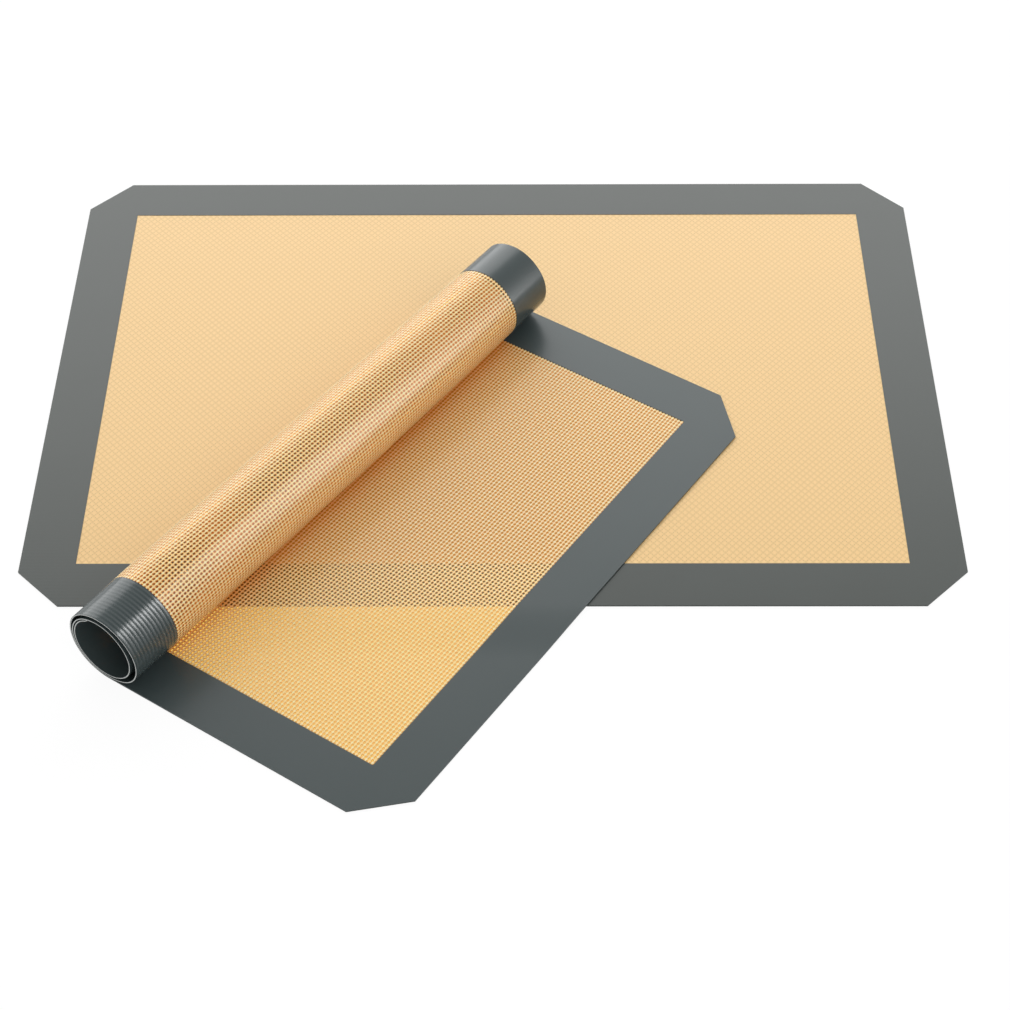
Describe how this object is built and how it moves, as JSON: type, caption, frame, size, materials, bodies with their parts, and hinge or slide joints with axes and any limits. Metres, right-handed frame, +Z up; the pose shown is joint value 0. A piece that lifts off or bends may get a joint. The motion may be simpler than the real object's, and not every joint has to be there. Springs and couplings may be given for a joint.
{
  "type": "woven silicone baking mat, pair",
  "caption": "Thin see-through amber mesh sheet with a solid grey border and cut corners, lying flat under a like one that is partly rolled up, for lining baking trays.",
  "frame": {"origin": "centre of the flat mat's underside, on the table", "axes": "+X along the flat mat's long side, +Y across it, away from the viewer of the picture, +Z up"},
  "size_m": [0.42, 0.4064, 0.0389],
  "materials": {
    "glass_cloth": "satin",
    "amber_silicone": "satin",
    "grey_silicone": "satin"
  },
  "bodies": {
    "flat_mat": {"flat_border_under": "grey_silicone", "flat_window_under": "amber_silicone", "flat_glass_cloth": "glass_cloth", "flat_window_upper": "amber_silicone", "flat_border_upper": "grey_silicone"},
    "rolled_mat": {"rolled_border_under": "grey_silicone", "rolled_window_under": "amber_silicone", "rolled_glass_cloth": "glass_cloth", "rolled_window_upper": "amber_silicone", "rolled_border_upper": "grey_silicone"}
  },
  "joints": [
    {"name": "lift", "type": "slide", "parent": "flat_mat", "child": "rolled_mat", "axis": [0, 0, 1], "range_m": [0, 0.15]}
  ]
}
